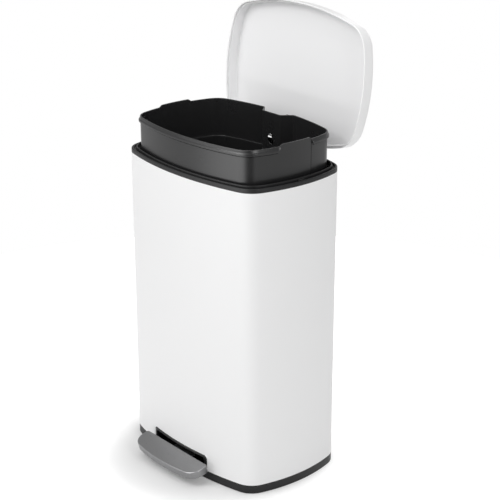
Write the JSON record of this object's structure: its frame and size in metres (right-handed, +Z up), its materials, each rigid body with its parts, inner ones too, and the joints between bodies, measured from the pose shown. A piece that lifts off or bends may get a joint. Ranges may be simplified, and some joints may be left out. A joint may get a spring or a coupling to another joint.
{
  "type": "pedal bin",
  "caption": "Rectangular step bin with bowed sides: a front pedal opens the domed lid by a lever, a push rod and a crank, over a lift-out inner bucket.",
  "frame": {"origin": "on the floor under the middle of the body", "axes": "+Z up, the pedal and the front face -Y, +X is the bin's right side seen from the front"},
  "size_m": [0.397, 0.3798, 0.8781],
  "materials": {
    "shell_paint": "satin white powder coat",
    "lid_plastic": "satin white",
    "liner_plastic": "smooth white",
    "black_plastic": "fine matte black",
    "bucket_plastic": "satin dark grey",
    "pedal_steel": "satin stainless",
    "zinc_steel": "zinc plated",
    "black_steel": "satin black coat",
    "nylon": "natural nylon",
    "rubber": "matte"
  },
  "bodies": {
    "body": {"outer_shell": "shell_paint", "base_tray": "black_plastic", "pedal_surround": "black_plastic", "rubber_feet": "rubber", "top_rim": "black_plastic", "rim_bumpers": "rubber", "axle_brackets": "zinc_steel", "bracket_screws": "zinc_steel", "pedal_axle": "zinc_steel", "axle_clip": "zinc_steel", "pedal_stop": "rubber", "rod_cover": "black_plastic", "rod_guides": "nylon", "cover_screws": "zinc_steel", "hinge_bracket": "black_steel", "hinge_pin": "zinc_steel", "hinge_screws": "zinc_steel"},
    "lid": {"lid_shell": "lid_plastic", "lid_liner": "liner_plastic", "lid_arm": "black_steel", "crank_pin": "black_steel", "lid_arm_screws": "zinc_steel"},
    "pedal": {"pedal_pad": "pedal_steel", "pedal_core": "black_plastic", "pedal_rivets": "zinc_steel", "pedal_lever": "zinc_steel", "lever_bushes": "nylon", "lever_pin": "zinc_steel"},
    "rod": {"push_rod": "zinc_steel", "rod_foot": "zinc_steel", "rod_yoke": "black_steel"},
    "bucket": {"inner_bucket": "bucket_plastic"}
  },
  "joints": [
    {"name": "lid_hinge", "type": "hinge", "parent": "body", "child": "lid", "pos_m": [0, 0.1338, 0.61145], "axis": [1, 0, 0], "range_deg": [0, 96.9]},
    {"name": "pedal_pivot", "type": "hinge", "parent": "body", "child": "pedal", "pos_m": [0, -0.0599, 0.034], "axis": [1, 0, 0], "range_deg": [-10.05, 0]},
    {"name": "rod_slide", "type": "slide", "parent": "body", "child": "rod", "axis": [0, 0, 1], "range_m": [-0.0309, 0]},
    {"name": "bucket_slide", "type": "slide", "parent": "body", "child": "bucket", "axis": [0, 0, 1], "range_m": [-0.0618, 0]}
  ],
  "couplings": [
    {"joint": "pedal_pivot", "follows": "lid_hinge", "ratio": -0.10338},
    {"joint": "rod_slide", "follows": "lid_hinge", "m_per_rad": -0.018231},
    {"joint": "bucket_slide", "follows": "lid_hinge", "m_per_rad": -0.036541}
  ]
}
